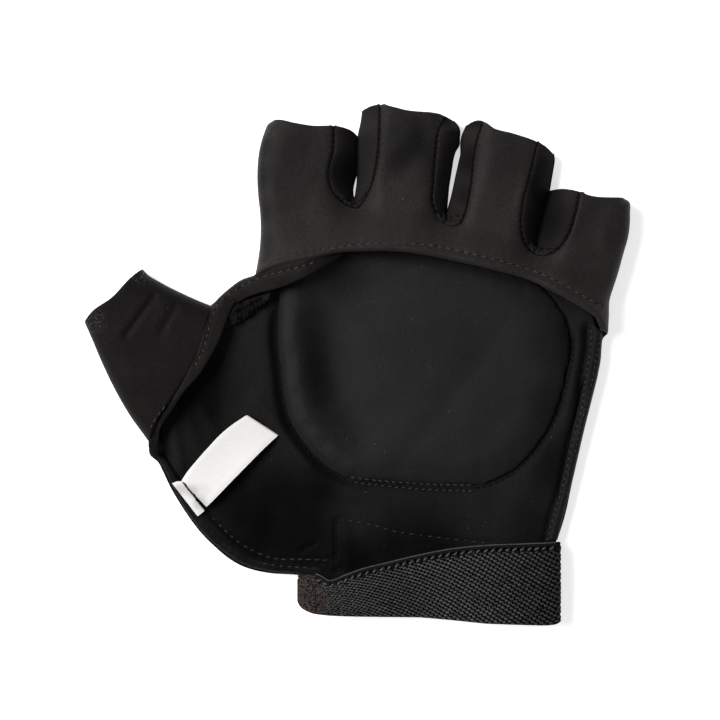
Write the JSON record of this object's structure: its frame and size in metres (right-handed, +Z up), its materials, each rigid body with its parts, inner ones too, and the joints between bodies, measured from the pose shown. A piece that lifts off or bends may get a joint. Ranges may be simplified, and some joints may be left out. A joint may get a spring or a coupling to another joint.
{
  "type": "field hockey glove",
  "caption": "Left-hand open-palm half-finger sport glove with padded back, raised inner knuckle pad, finger and thumb tubes and an elastic wrist band, lying palm up.",
  "frame": {"origin": "middle of the underside of the whole glove as it lies on its back", "axes": "+X to the little-finger side, +Y to the fingertips, +Z up out of the palm"},
  "size_m": [0.1764, 0.1688, 0.0171],
  "materials": {
    "back_cloth": "black padded cloth, matt",
    "lining_cloth": "black brushed knit, matt",
    "pad_cloth": "black knit over foam, soft sheen",
    "palm_cloth": "black backed cloth, soft sheen",
    "gusset_cloth": "black stretch cloth, matt",
    "facing_cloth": "black knitted backing, slightly brown",
    "elastic": "black ribbed woven elastic",
    "ribbon": "white satin ribbon"
  },
  "bodies": {
    "root": {"back_shell": "back_cloth", "shell_lining": "lining_cloth", "knuckle_pad": "pad_cloth", "finger_band": "palm_cloth", "gusset_index_middle": "gusset_cloth", "gusset_middle_ring": "gusset_cloth", "gusset_ring_little": "gusset_cloth", "thumb_panel": "palm_cloth", "finger_facing": "facing_cloth", "thumb_facing": "facing_cloth", "web_allowance": "facing_cloth", "edge_binding": "back_cloth", "side_edge": "back_cloth", "wrist_band": "elastic", "size_label": "ribbon"}
  },
  "joints": []
}
